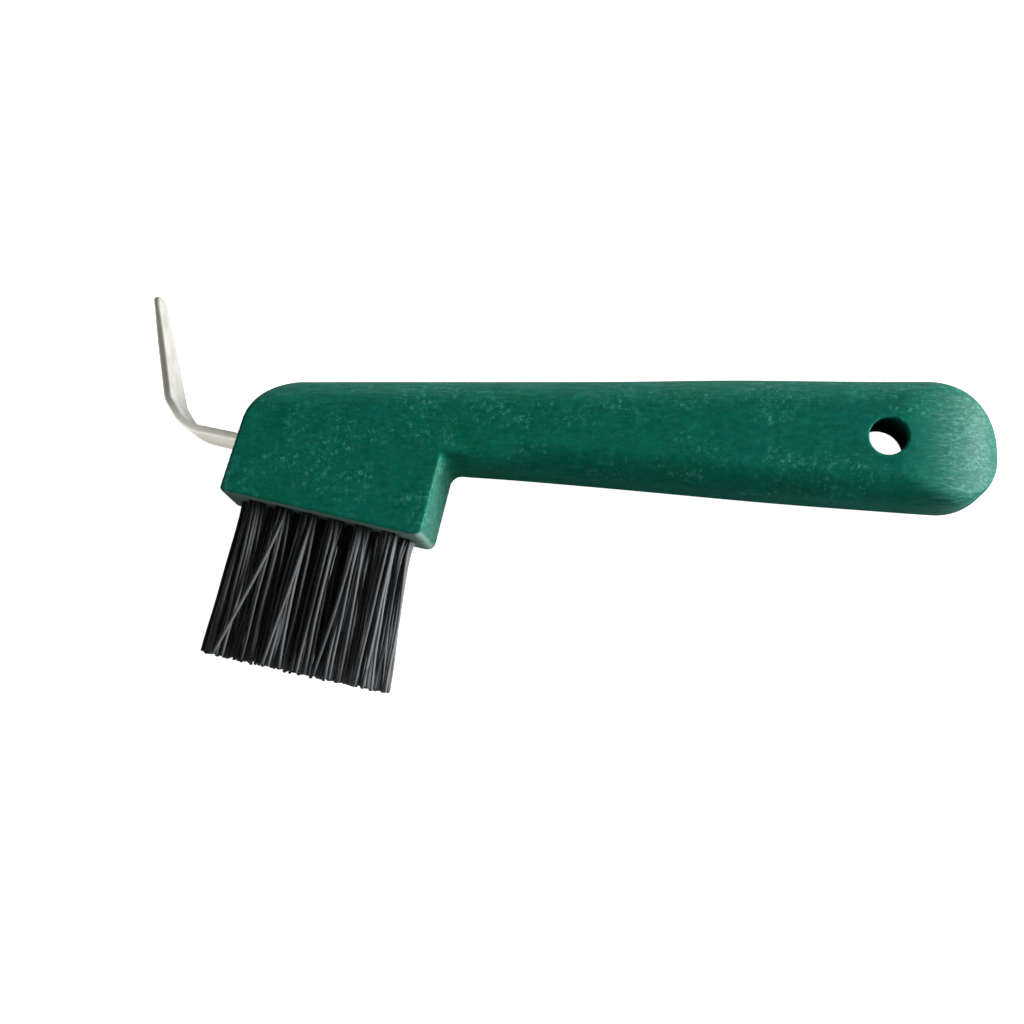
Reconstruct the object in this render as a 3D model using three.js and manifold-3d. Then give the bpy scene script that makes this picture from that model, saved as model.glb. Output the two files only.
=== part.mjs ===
// Hoof pick with a brush: one plastic handle with a brush head, a bent steel
// strip for picking, and tufts of stiff bristle held in the head by flat anchors.
//
// Millimetres, +Z up. The pick lies on one of its two flat sides. +X runs along
// the handle to the hanging hole, and -Y is the side that the bristles point to.
// While it is drawn, x = 0, y = 0 is the inside corner where the back of the
// head meets the underside of the handle, and z = 0 is the side it lies on.

import * as THREE from 'three';
import * as BufferGeometryUtils from 'three/addons/utils/BufferGeometryUtils.js';
import Module from 'manifold-3d';

const wasm = await Module();
wasm.setup();

// ---- driving dimensions ----

const THICKNESS = 20;          // between the two flat sides
const FIT_GAP = 0.3;           // room round each piece that sits in another

const HANDLE_TOP = 17.75;      // straight top edge, above the inside corner
const HANDLE_REAR = 112.2;     // end of the handle
const UNDERSIDE_SLOPE = THREE.MathUtils.degToRad(4.5);   // the handle deepens to the rear
const HANDLE_ROUND = 6;        // rounding of the handle's long edges
const DOME_LENGTH = 20;        // stretch over which the rear end rounds off in thickness
const DOME_EDGE = 0.8;         // half height of the flat that the dome leaves at its end
const DOME_BULGE = 1.65;       // 2 would be an ellipse, less is more pointed
const REAR_TOP_RADIUS = 12.4;  // outline corners of the rear end
const REAR_LOW_RADIUS = 11.2;

const FACE_ANGLE = THREE.MathUtils.degToRad(12.5);       // slope of the brush face
const FACE_LENGTH = 43.1;      // brush face, front to back
const FACE_DROP = 16.15;       // back of the head, from inside corner to brush face
const FRONT_ANGLE = THREE.MathUtils.degToRad(15.2);      // lean of the head's front face
const HEAD_CORNER = 12.4;      // outline radius between front face and top edge
const FRONT_SPREAD = 2;        // the front face stands this much further out on the lower side
const HEAD_EDGE = 0.7;         // small rounding of the head's own edges
const FRONT_FACE_CORNER = 1.1; // outline radii at the two ends of the brush face
const BACK_FACE_CORNER = 1.8;
const NECK_FILLET = 2.8;       // inside corner between head and handle

const HOLE_X = 89.5;           // hanging hole
const HOLE_Y = 5.4;
const HOLE_TOP_RADIUS = 3.75;  // on the upper side
const HOLE_BASE_RADIUS = 5.3;  // on the lower side

const HOOK_THICKNESS = 1.8;
const HOOK_HEIGHT = 12.15;     // middle of the shank above the brush face
const SHANK_WIDTH = 15.2;      // in the head and where the strip leaves it
const BEND_WIDTH = 12;
const TIP_WIDTH = 6;
const TIP_CORNER = 1.4;
const TANG_END = -19.6;        // inner end of the strip, buried in the head
const BEND_X = -54.8;          // where the shank starts to turn up
const ELBOW = [-58.7, 14];     // where the short slanting part meets the arm
const TIP = [-63.8, 37.4];     // end of the arm
const INNER_BEND = 8.5;        // bend radii of the strip's middle line
const OUTER_BEND = 5;

const TUFT_PITCH = 5.72;       // along a row
const ROW_PITCH = 5.2;         // between rows
const ROW_COUNTS = [6, 7, 6];  // the middle row is set half a pitch off
const ROW_NAMES = ['low', 'mid', 'top'];
const SOCKET_RADIUS = 1.8;
const SOCKET_DEPTH = 8;
const TUFT_ROOT_RADIUS = SOCKET_RADIUS - FIT_GAP;
const TUFT_TIP_RADIUS = 2.2;
const FRONT_LENGTH = 32.4;     // from the brush face to the trimmed ends, at its front
const REAR_LENGTH = 31.4;      // and at its rear
const FAN_ANGLE = THREE.MathUtils.degToRad(4.5);         // lean of the rearmost tuft

const ANCHOR_LENGTH = 4.2;     // flat wire that pins a folded tuft
const ANCHOR_HEIGHT = 1.6;
const ANCHOR_THICKNESS = 0.4;
const ANCHOR_DEPTH = 5.4;      // middle of the anchor below the brush face

// ---- worked out from them ----

const ROUND_STEPS = 5;         // facets of a long rounding
const EDGE_STEPS = 2;          // facets of a small one
const DOME_STEPS = 10;
const SOCKET_SIDES = 14;
const HOLE_SIDES = 36;
const OUTLINE_STEPS = 10;      // facets of each outline corner
const REACH = 40;              // overshoot of solids that only cut

const along = new THREE.Vector2(Math.cos(FACE_ANGLE), -Math.sin(FACE_ANGLE));
const outward = new THREE.Vector2(-Math.sin(FACE_ANGLE), -Math.cos(FACE_ANGLE));
const faceBack = outward.clone().multiplyScalar(FACE_DROP);
const faceFront = faceBack.clone().addScaledVector(along, -FACE_LENGTH);

const underside = (x) => -x * Math.tan(UNDERSIDE_SLOPE);
const frontFace = (y) => faceFront.x + (y - faceFront.y) * Math.tan(FRONT_ANGLE);
const onFace = (distance) => faceBack.clone().addScaledVector(along, distance - FACE_LENGTH);

// ---- tools for solids ----

function solidOf(geometry) {
  const plain = geometry.clone();
  plain.deleteAttribute('normal');
  plain.deleteAttribute('uv');
  const merged = BufferGeometryUtils.mergeVertices(plain, 1e-4);
  return new wasm.Manifold(new wasm.Mesh({
    numProp: 3,
    vertProperties: new Float32Array(merged.attributes.position.array),
    triVerts: new Uint32Array(merged.index.array),
  }));
}

function geometryOf(solid) {
  const mesh = solid.getMesh();
  const geometry = new THREE.BufferGeometry();
  geometry.setAttribute('position', new THREE.BufferAttribute(mesh.vertProperties, 3));
  geometry.setIndex(new THREE.BufferAttribute(mesh.triVerts, 1));
  geometry.computeVertexNormals();
  return geometry;
}

// A closed outline whose corners are rounded by arcs: each corner is [x, y, radius].
function roundedOutline(corners, steps = OUTLINE_STEPS) {
  const points = [];
  corners.forEach(([x, y, radius], i) => {
    const here = new THREE.Vector2(x, y);
    const before = corners[(i + corners.length - 1) % corners.length];
    const after = corners[(i + 1) % corners.length];
    points.push(...cornerArc(new THREE.Vector2(before[0], before[1]), here,
      new THREE.Vector2(after[0], after[1]), radius, steps));
  });
  return points;
}

// The arc of one radius that joins the lines before-here and here-after.
function cornerArc(before, here, after, radius, steps) {
  if (radius === 0) return [here];
  const back = before.clone().sub(here).normalize();
  const ahead = after.clone().sub(here).normalize();
  const half = Math.acos(back.dot(ahead)) / 2;
  const toCentre = back.clone().add(ahead).normalize();
  const centre = here.clone().addScaledVector(toCentre, radius / Math.sin(half));
  const start = here.clone().addScaledVector(back, radius / Math.tan(half)).sub(centre);
  const turn = Math.sign(back.cross(ahead)) * (Math.PI - 2 * half);
  return Array.from({ length: steps + 1 }, (_, i) => (
    start.clone().rotateAround(new THREE.Vector2(), -turn * i / steps).add(centre)
  ));
}

// A slab of the given outline, from z = 0 up to the thickness, with rounded rims.
function roundedSlab(outline, round, steps) {
  return new THREE.ExtrudeGeometry(new THREE.Shape(outline), {
    depth: THICKNESS - 2 * round,
    bevelThickness: round,
    bevelSize: round,
    bevelOffset: -round,
    bevelSegments: steps,
    steps: 1,
  }).translate(0, 0, round);
}

// Turns a solid drawn with +Z as its axis so that +Z becomes the way out of the
// brush face and +X stays along the face, and sets it at a distance along the face.
function placeOnFace(geometry, distance, z, lean = 0) {
  const axis = outward.clone().rotateAround(new THREE.Vector2(), lean);
  const side = new THREE.Vector3(-axis.y, axis.x, 0);
  const out = new THREE.Vector3(axis.x, axis.y, 0);
  const turn = new THREE.Matrix4().makeBasis(side, new THREE.Vector3().crossVectors(out, side), out);
  const spot = onFace(distance);
  return geometry.clone().applyMatrix4(turn).translate(spot.x, spot.y, z);
}

// ---- the tufts' pattern ----

const tuftSpots = ROW_COUNTS.flatMap((count, row) => (
  Array.from({ length: count }, (_, i) => ({
    name: `${ROW_NAMES[row]}_${i + 1}`,
    distance: FACE_LENGTH / 2 + (i - (count - 1) / 2) * TUFT_PITCH,
    z: THICKNESS / 2 + (row - 1) * ROW_PITCH,
  }))
));

const tuftLean = (distance) => FAN_ANGLE * distance / FACE_LENGTH;
const tuftLength = (distance) => (
  THREE.MathUtils.lerp(FRONT_LENGTH, REAR_LENGTH, distance / FACE_LENGTH)
);

// ---- handle and brush head, one moulding ----

function handleBar() {
  const insideHead = -22;
  const outline = roundedOutline([
    [insideHead, 0, 0],
    [0, 0, 0],
    [HANDLE_REAR, underside(HANDLE_REAR), REAR_LOW_RADIUS],
    [HANDLE_REAR, HANDLE_TOP, REAR_TOP_RADIUS],
    [insideHead, HANDLE_TOP, 0],
  ]);
  return solidOf(roundedSlab(outline, HANDLE_ROUND, ROUND_STEPS));
}

// Seen from the side, the rear end closes in a long blunt nose.
function domeLimit() {
  const middle = THICKNESS / 2;
  const height = middle - DOME_EDGE;
  const start = HANDLE_REAR - DOME_LENGTH;
  const lower = Array.from({ length: DOME_STEPS + 1 }, (_, i) => {
    const angle = Math.PI / 2 * i / DOME_STEPS;
    return new THREE.Vector2(
      start + DOME_LENGTH * Math.sin(angle) ** (2 / DOME_BULGE),
      middle - DOME_EDGE - height * Math.max(Math.cos(angle), 0) ** (2 / DOME_BULGE));
  });
  const upper = lower.map(({ x, y }) => new THREE.Vector2(x, THICKNESS - y)).reverse();
  const shape = new THREE.Shape([
    new THREE.Vector2(-REACH * 2, -1),
    new THREE.Vector2(start, -1),
    ...lower,
    ...upper,
    new THREE.Vector2(start, THICKNESS + 1),
    new THREE.Vector2(-REACH * 2, THICKNESS + 1),
  ]);
  const slab = new THREE.ExtrudeGeometry(shape, { depth: REACH * 2, bevelEnabled: false });
  return solidOf(slab.rotateX(Math.PI / 2).translate(0, REACH, 0));
}

function headBlock() {
  const top = HANDLE_TOP;
  const outline = roundedOutline([
    [faceFront.x, faceFront.y, FRONT_FACE_CORNER],
    [faceBack.x, faceBack.y, BACK_FACE_CORNER],
    [0, 0, 0],
    [-outward.x * top, -outward.y * top, 0],
    [frontFace(top), top, HEAD_CORNER],
  ]);
  return solidOf(spreadFront(roundedSlab(outline, HEAD_EDGE, EDGE_STEPS)));
}

// Slides the front of the head outwards, none on the upper side and most on the lower.
function spreadFront(geometry) {
  const places = geometry.attributes.position;
  for (let i = 0; i < places.count; i += 1) {
    const [x, y, z] = [places.getX(i), places.getY(i), places.getZ(i)];
    if (x < faceFront.x / 2) {
      const out = FRONT_SPREAD * (1 - z / THICKNESS);
      const share = (HANDLE_TOP - y) / (HANDLE_TOP - faceFront.y);
      places.setXYZ(i, x - out, y + out * share * Math.tan(FACE_ANGLE), z);
    }
  }
  return geometry;
}

// A block whose upper long edges carry the handle's rounding, for the head to keep.
function topRounding() {
  const outline = [
    new THREE.Vector2(-REACH * 2, -REACH),
    new THREE.Vector2(REACH, -REACH),
    new THREE.Vector2(REACH, HANDLE_TOP),
    new THREE.Vector2(-REACH * 2, HANDLE_TOP),
  ];
  return solidOf(roundedSlab(outline, HANDLE_ROUND, ROUND_STEPS));
}

// The material that fills the inside corner, under the handle's rounding.
function neckFillet() {
  const slope = Math.tan(UNDERSIDE_SLOPE);
  const reach = NECK_FILLET * 2;
  const arc = cornerArc(faceBack, new THREE.Vector2(0, 0),
    new THREE.Vector2(reach, -reach * slope), NECK_FILLET, ROUND_STEPS);
  const inside = new THREE.Vector2(-1, HANDLE_ROUND);
  const shape = new THREE.Shape([inside, ...arc, new THREE.Vector2(reach, HANDLE_ROUND)]);
  const depth = THICKNESS - 2 * HANDLE_ROUND;
  const web = new THREE.ExtrudeGeometry(shape, { depth, bevelEnabled: false });
  return solidOf(web.translate(0, 0, HANDLE_ROUND));
}

function hangingHole() {
  const flare = (HOLE_BASE_RADIUS - HOLE_TOP_RADIUS) / THICKNESS;
  const cone = new THREE.CylinderGeometry(HOLE_TOP_RADIUS - flare, HOLE_BASE_RADIUS + flare,
    THICKNESS + 2, HOLE_SIDES);
  return solidOf(cone.rotateX(Math.PI / 2).translate(HOLE_X, HOLE_Y, THICKNESS / 2));
}

// Blind hole for one tuft, with a slot across it where the anchor bites.
function tuftSocket({ distance, z }) {
  const hole = new THREE.CylinderGeometry(SOCKET_RADIUS, SOCKET_RADIUS, SOCKET_DEPTH + 1,
    SOCKET_SIDES).rotateX(Math.PI / 2).translate(0, 0, (1 - SOCKET_DEPTH) / 2);
  return solidOf(placeOnFace(hole, distance, z)).add(anchorSlot({ distance, z }));
}

function anchorSlot({ distance, z }) {
  const slot = new THREE.BoxGeometry(ANCHOR_LENGTH + 2 * FIT_GAP,
    ANCHOR_THICKNESS + 2 * FIT_GAP, ANCHOR_HEIGHT + 2 * FIT_GAP);
  return solidOf(placeOnFace(slot.translate(0, 0, -ANCHOR_DEPTH), distance, z));
}

function handleSolid() {
  let solid = headBlock().intersect(topRounding()).add(handleBar().intersect(domeLimit()));
  solid = solid.add(neckFillet());
  solid = solid.subtract(hangingHole()).subtract(tangPocket());
  return tuftSpots.reduce((body, spot) => body.subtract(tuftSocket(spot)), solid);
}

// ---- hook, one bent strip ----

const shankPoint = (x) => {
  const start = onFace(0).addScaledVector(outward, -HOOK_HEIGHT);
  return [x, start.y - (x - start.x) * Math.tan(FACE_ANGLE)];
};

// The outline of a strip of even thickness about a bent middle line.
function stripOutline(thickness, tangEnd) {
  const line = [TIP, ELBOW, shankPoint(BEND_X), shankPoint(tangEnd)]
    .map(([x, y]) => new THREE.Vector2(x, y));
  const radii = [0, OUTER_BEND, INNER_BEND, 0];
  const side = (sign) => offsetLine(line, sign * thickness / 2).flatMap((point, i, all) => (
    radii[i] === 0 ? [point]
      : cornerArc(all[i - 1], point, all[i + 1], radii[i] - sign * thickness / 2, OUTLINE_STEPS)
  ));
  return [...side(1), ...side(-1).reverse()];
}

// The line moved sideways to its left, corner by corner.
function offsetLine(line, distance) {
  const normals = line.slice(1).map((point, i) => {
    const way = point.clone().sub(line[i]).normalize();
    return new THREE.Vector2(-way.y, way.x);
  });
  return line.map((point, i) => {
    const first = normals[Math.max(i - 1, 0)];
    const last = normals[Math.min(i, normals.length - 1)];
    const middle = first.clone().add(last).normalize();
    return point.clone().addScaledVector(middle, distance / middle.dot(first));
  });
}

// A plate through the whole strip that is as wide as the strip at each x or y.
function widthLimit(stations, vertical) {
  const side = (sign) => stations.map(([place, width, round]) => (
    [place, THICKNESS / 2 + sign * width / 2, round ?? 0]
  ));
  const outline = roundedOutline([...side(1), ...side(-1).reverse()], ROUND_STEPS);
  const plate = new THREE.ExtrudeGeometry(new THREE.Shape(outline), {
    depth: REACH * 4, bevelEnabled: false,
  }).translate(0, 0, -REACH * 2);
  plate.rotateX(Math.PI / 2);
  if (vertical) plate.rotateZ(Math.PI / 2);
  return solidOf(plate);
}

function hookSolid() {
  const strip = new THREE.ExtrudeGeometry(
    new THREE.Shape(stripOutline(HOOK_THICKNESS, TANG_END)),
    { depth: THICKNESS, bevelEnabled: false });
  const alongShank = widthLimit([
    [TIP[0] - REACH, BEND_WIDTH], [BEND_X, BEND_WIDTH],
    [frontFace(ELBOW[1]), SHANK_WIDTH], [TANG_END + 1, SHANK_WIDTH],
  ], false);
  const alongArm = widthLimit([
    [-REACH, SHANK_WIDTH], [ELBOW[1] - 1, SHANK_WIDTH],
    [ELBOW[1], BEND_WIDTH], [TIP[1], TIP_WIDTH, TIP_CORNER],
  ], true);
  return solidOf(strip).intersect(alongShank).intersect(alongArm);
}

// Room for the buried end of the strip.
function tangPocket() {
  const [endX, endY] = shankPoint(TANG_END);
  const [outX, outY] = shankPoint(BEND_X);
  const length = Math.hypot(outX - endX, outY - endY);
  const box = new THREE.BoxGeometry(length, HOOK_THICKNESS + 2 * FIT_GAP,
    SHANK_WIDTH + 2 * FIT_GAP);
  box.translate(FIT_GAP - length / 2, 0, 0).rotateZ(-FACE_ANGLE);
  return solidOf(box.translate(endX, endY, THICKNESS / 2));
}

// ---- tufts and their anchors ----

function tuftSolid(spot) {
  const buried = SOCKET_DEPTH - FIT_GAP;
  const root = new THREE.CylinderGeometry(TUFT_ROOT_RADIUS, TUFT_ROOT_RADIUS, buried + 1,
    SOCKET_SIDES).rotateX(Math.PI / 2).translate(0, 0, (1 - buried) / 2);
  const length = tuftLength(spot.distance);
  const fan = new THREE.CylinderGeometry(TUFT_TIP_RADIUS, TUFT_ROOT_RADIUS, length,
    SOCKET_SIDES).rotateX(Math.PI / 2).translate(0, 0, length / 2);
  return solidOf(placeOnFace(root, spot.distance, spot.z))
    .add(solidOf(placeOnFace(fan, spot.distance, spot.z, tuftLean(spot.distance))))
    .subtract(anchorSlot(spot));
}

function anchorGeometry({ distance, z }) {
  const strip = new THREE.BoxGeometry(ANCHOR_LENGTH, ANCHOR_THICKNESS, ANCHOR_HEIGHT);
  return placeOnFace(strip.translate(0, 0, -ANCHOR_DEPTH), distance, z);
}

// ---- materials and assembly ----

const greenPlastic = () => new THREE.MeshStandardMaterial({
  color: 0x0b5a47, roughness: 0.62, metalness: 0 });
const bareSteel = () => new THREE.MeshStandardMaterial({
  color: 0xbdb9ac, roughness: 0.38, metalness: 1 });
const blackNylon = () => new THREE.MeshStandardMaterial({
  color: 0x101214, roughness: 0.45, metalness: 0 });
const anchorWire = () => new THREE.MeshStandardMaterial({
  color: 0x9a9da0, roughness: 0.4, metalness: 1 });

function part(name, geometry, material) {
  const mesh = new THREE.Mesh(geometry, material);
  mesh.name = name;
  return mesh;
}

const pick = new THREE.Group();
pick.add(part('handle', geometryOf(handleSolid()), greenPlastic()));
pick.add(part('hook', geometryOf(hookSolid()), bareSteel()));

const brush = new THREE.Group();
tuftSpots.forEach((spot) => {
  brush.add(part(`tuft_${spot.name}`, geometryOf(tuftSolid(spot)), blackNylon()));
  brush.add(part(`anchor_${spot.name}`, anchorGeometry(spot), anchorWire()));
});
pick.add(brush);

// The finished part has its origin at the middle of its footprint.
const extent = new THREE.Box3().setFromObject(pick);
const middle = extent.getCenter(new THREE.Vector3());
pick.position.set(-middle.x, -middle.y, -extent.min.z);

export default pick;
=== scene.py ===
"""A hoof pick with a brush, lying on a pale studio floor.

The moulded handle, the steel strip and the bristle tufts are built here around
the CAD frame. Shapes are drawn in millimetres in the handle's own plan, whose
zero is the inside corner between head and handle, and then put in the frame.
"""

import math

import bmesh
import bpy
import numpy as np
from mathutils import Matrix, Vector


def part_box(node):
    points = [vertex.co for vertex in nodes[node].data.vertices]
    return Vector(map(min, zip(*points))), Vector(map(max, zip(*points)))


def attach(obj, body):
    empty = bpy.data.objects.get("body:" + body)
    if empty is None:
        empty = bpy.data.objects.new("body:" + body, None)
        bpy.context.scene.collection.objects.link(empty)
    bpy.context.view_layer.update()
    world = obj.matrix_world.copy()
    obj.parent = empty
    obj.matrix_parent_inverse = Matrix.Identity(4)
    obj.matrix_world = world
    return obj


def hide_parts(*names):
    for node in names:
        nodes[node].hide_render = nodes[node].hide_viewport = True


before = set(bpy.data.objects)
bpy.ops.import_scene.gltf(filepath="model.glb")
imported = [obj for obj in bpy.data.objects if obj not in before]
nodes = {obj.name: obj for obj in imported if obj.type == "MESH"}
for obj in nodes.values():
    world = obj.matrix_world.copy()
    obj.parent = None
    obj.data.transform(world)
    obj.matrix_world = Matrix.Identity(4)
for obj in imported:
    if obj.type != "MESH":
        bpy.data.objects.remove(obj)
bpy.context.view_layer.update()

scene = bpy.context.scene
MM = 0.001

# ---- sizes in millimetres, the same as the CAD model's unless a comment says otherwise ----

THICKNESS = 20.0
HANDLE_TOP = 17.75
HANDLE_REAR = 112.2
UNDERSIDE_SLOPE = math.radians(4.5)
REAR_TOP_RADIUS = 14.2     # the CAD model has 12.4
REAR_LOW_RADIUS = 11.2
FACE_ANGLE = math.radians(12.5)
FACE_LENGTH = 43.1
FACE_DROP = 16.15
FRONT_ANGLE = math.radians(15.2)
HEAD_CORNER = 12.4
FRONT_SPREAD = 2.0
FRONT_FACE_CORNER, BACK_FACE_CORNER = 1.1, 1.8
NECK_FILLET = 2.8
INSIDE_HEAD = -22.0        # where the grip's bar ends inside the head
HOLE_CENTRE = (89.5, 5.4)
HOLE_TOP_RADIUS = 3.75
HOLE_BASE_RADIUS = 5.3

MIDDLE = THICKNESS / 2
handle_low, handle_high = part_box("handle")
CORNER = Vector((handle_high.x - HANDLE_REAR * MM, handle_high.y - HANDLE_TOP * MM, handle_low.z))

ALONG = np.array([math.cos(FACE_ANGLE), -math.sin(FACE_ANGLE)])
OUTWARD = np.array([-math.sin(FACE_ANGLE), -math.cos(FACE_ANGLE)])
FACE_BACK = OUTWARD * FACE_DROP
FACE_FRONT = FACE_BACK - ALONG * FACE_LENGTH


def in_frame(points):
    """Plan millimetres to metres in the row frame."""
    return np.asarray(points, float) * MM + np.array(CORNER)


# ---- outlines ----

def corner_arc(before, here, after, radius, steps):
    """Points of the arc that joins the lines before-here and here-after."""
    here = np.asarray(here, float)
    if radius == 0:
        return [here]
    back, ahead = np.asarray(before) - here, np.asarray(after) - here
    back, ahead = back / np.linalg.norm(back), ahead / np.linalg.norm(ahead)
    half = math.acos(float(back @ ahead)) / 2
    middle = (back + ahead) / np.linalg.norm(back + ahead)
    centre = here + middle * radius / math.sin(half)
    start = here + back * radius / math.tan(half) - centre
    turn = -math.copysign(math.pi - 2 * half, back[0] * ahead[1] - back[1] * ahead[0])
    angles = np.linspace(0, turn, steps + 1)
    return [centre + np.array([start[0] * math.cos(a) - start[1] * math.sin(a),
                               start[0] * math.sin(a) + start[1] * math.cos(a)]) for a in angles]


def rounded_outline(corners, steps=24):
    """A closed outline from corners (x, y, radius)."""
    points = []
    for i, (x, y, radius) in enumerate(corners):
        before, after = corners[i - 1][:2], corners[(i + 1) % len(corners)][:2]
        points += corner_arc(before, (x, y), after, radius, steps)
    return np.array(points)


def grip_outline():
    underside_end = -HANDLE_REAR * math.tan(UNDERSIDE_SLOPE)
    return rounded_outline([
        (INSIDE_HEAD, 0, 0),
        (0, 0, 0),
        (HANDLE_REAR, underside_end, REAR_LOW_RADIUS),
        (HANDLE_REAR, HANDLE_TOP, REAR_TOP_RADIUS),
        (INSIDE_HEAD, HANDLE_TOP, 0),
    ])


def head_outline():
    front_top = FACE_FRONT[0] + (HANDLE_TOP - FACE_FRONT[1]) * math.tan(FRONT_ANGLE)
    return rounded_outline([
        (*FACE_FRONT, FRONT_FACE_CORNER),
        (*FACE_BACK, BACK_FACE_CORNER),
        (HANDLE_TOP * math.tan(FACE_ANGLE), HANDLE_TOP, 0),
        (front_top, HANDLE_TOP, HEAD_CORNER),
    ])


def polygon_distance(points, polygon):
    """Signed distance of points to a closed polygon, negative inside."""
    nearest = np.full(len(points), np.inf)
    inside = np.zeros(len(points), bool)
    for a, b in zip(polygon, np.roll(polygon, -1, axis=0)):
        edge, rel = b - a, points - a
        along = np.clip(rel @ edge / (edge @ edge), 0, 1)
        nearest = np.minimum(nearest, ((rel - along[:, None] * edge) ** 2).sum(1))
        crosses = (a[1] > points[:, 1]) != (b[1] > points[:, 1])
        if a[1] != b[1]:
            at = a[0] + (points[:, 1] - a[1]) * edge[0] / edge[1]
            inside ^= crosses & (points[:, 0] < at)
    return np.where(inside, -1, 1) * np.sqrt(nearest)


class Plan:
    """The outline's signed distance, sampled once on a fine grid and read between its points."""

    def __init__(self, polygon, step=0.15, margin=3.0):
        self.low, self.step = polygon.min(0) - margin, step
        size = np.ceil((polygon.max(0) + margin - self.low) / step).astype(int) + 2
        xs, ys = (self.low[k] + np.arange(size[k]) * step for k in (0, 1))
        grid = np.stack(np.meshgrid(xs, ys, indexing="ij"), -1).reshape(-1, 2)
        self.values = polygon_distance(grid, polygon).reshape(size)

    def __call__(self, x, y):
        u = np.clip((x - self.low[0]) / self.step, 0, self.values.shape[0] - 1.001)
        v = np.clip((y - self.low[1]) / self.step, 0, self.values.shape[1] - 1.001)
        i, j = u.astype(int), v.astype(int)
        s, t, grid = u - i, v - j, self.values
        return ((grid[i, j] * (1 - s) + grid[i + 1, j] * s) * (1 - t)
                + (grid[i, j + 1] * (1 - s) + grid[i + 1, j + 1] * s) * t)


# ---- meshing a solid that is given by a distance field ----

def surface_nets(values, low, step):
    """Vertices and quads of the zero level of a grid of values."""
    inside, shape = values < 0, values.shape
    sums, corners, cells_of_quads = [], [], []
    for axis in range(3):
        first = [slice(None)] * 3
        second = [slice(None)] * 3
        first[axis], second[axis] = slice(None, -1), slice(1, None)
        v0, v1 = values[tuple(first)], values[tuple(second)]
        edges = np.argwhere((v0 < 0) != (v1 < 0))
        a, b = v0[tuple(edges.T)], v1[tuple(edges.T)]
        crossing = edges.astype(float)
        crossing[:, axis] += a / (a - b)
        u, w = np.eye(3, dtype=int)[(axis + 1) % 3], np.eye(3, dtype=int)[(axis + 2) % 3]
        ring = np.stack([edges, edges - u, edges - u - w, edges - w], 1)
        ring[a >= 0] = ring[a >= 0][:, ::-1]
        cells = ring[..., 0] * shape[1] * shape[2] + ring[..., 1] * shape[2] + ring[..., 2]
        sums.append(np.repeat(crossing, 4, axis=0))
        corners.append(cells.ravel())
        cells_of_quads.append(cells)
    cells, index = np.unique(np.concatenate(corners), return_inverse=True)
    points = np.concatenate(sums)
    count = np.bincount(index)
    vertices = np.stack([np.bincount(index, points[:, k]) / count for k in range(3)], 1)
    quads = np.searchsorted(cells, np.concatenate(cells_of_quads))
    return low + vertices * step, quads


def settle(points, field, reach, rounds=4, probe=0.02):
    """Moves points onto the field's zero level."""
    for _ in range(rounds):
        value = field(points)
        slope = np.stack([(field(points + d) - field(points - d)) / (2 * probe)
                          for d in np.eye(3) * probe], 1)
        push = slope * (value / np.maximum((slope ** 2).sum(1), 0.05))[:, None]
        length = np.linalg.norm(push, axis=1, keepdims=True)
        points = points - push * np.minimum(1, reach / np.maximum(length, 1e-9))
    return points


def solid_from_field(name, field, low, high, step):
    """A smooth-shaded object of a field's zero level, looked for between low and high."""
    low, high = np.array(low, float), np.array(high, float)
    size = np.ceil((high - low) / step).astype(int) + 1
    axes = [low[k] + np.arange(size[k]) * step for k in range(3)]
    grid = np.stack(np.meshgrid(*axes, indexing="ij"), -1).reshape(-1, 3)
    vertices, quads = surface_nets(field(grid).reshape(size), low, step)
    vertices = settle(vertices, field, step * 0.5)
    mesh = bpy.data.meshes.new(name)
    mesh.from_pydata(in_frame(vertices), [], quads.tolist())
    mesh.shade_smooth()
    return add_object(name, mesh)


def add_object(name, mesh):
    piece = bpy.data.objects.new(name, mesh)
    scene.collection.objects.link(piece)
    return piece


# ---- the moulding ----

EDGE_ROUND = 6.0       # along the handle's long edges and the head's top
HEAD_EDGE = 0.6        # the head's lower edges, 0.7 in the CAD model
NECK_REACH = 2.4       # how far in the lower rounding reaches right behind the head
NECK_END = (4, 18)     # from there to there the lower rounding grows to the full one
UPPER_HALF = (2, 11)   # heights over which one edge's rounding passes into the other's
FILLET_END = (3, 8)    # heights over which the neck's fillet fades
LEAST_FILLET = 0.02
TOP_SWELL = (0.0, 0.3, 60.0, 18.0)     # fullness of the grip's top edge: all along, and
LOW_SWELL = (0.15, 0.32, 68.0, 26.0)   # more at a bulge, with the bulge's middle and spread
SWELL_END = (4, 16)    # from the rear end, where the fullness fades
DOME_LENGTH, DOME_DROP = 20.0, 9.2     # the rear end's dome, along the grip and in thickness
DOME_BULGE = 1.65      # 2 is an ellipse, less is more pointed
DOME_BLEND = 5.0       # softness of the dome's side edges
CREASE = 0.05          # softness of an edge that should look sharp
SPREAD_START, SPREAD_FULL = 14, 30     # how far forward the head starts to widen downwards
RIM_ROUND = 0.15       # rim of the hanging hole
MARK_SPOT, MARK_RADIUS = (42.3, 11.5), 0.7    # dark moulding mark: along the brush face, up
TANG_GAP = 0.12
GRID_STEP, QUICK_GRID_STEP = 0.45, 0.6
SOCKET_RADIUS = 1.8
SOCKET_DEPTH = 8.0
TUFT_PITCH = 5.72
ROW_PITCH = 5.2
ROWS = (("low", 6), ("mid", 7), ("top", 6))

TUFTS = [(f"{row}_{i + 1}", FACE_LENGTH / 2 + (i - (count - 1) / 2) * TUFT_PITCH,
          MIDDLE + (k - 1) * ROW_PITCH)
         for k, (row, count) in enumerate(ROWS) for i in range(count)]


def ease(value, start, end):
    """0 before start, 1 after end, smooth between."""
    t = np.clip((value - start) / (end - start), 0, 1)
    return t * t * (3 - 2 * t)


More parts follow.
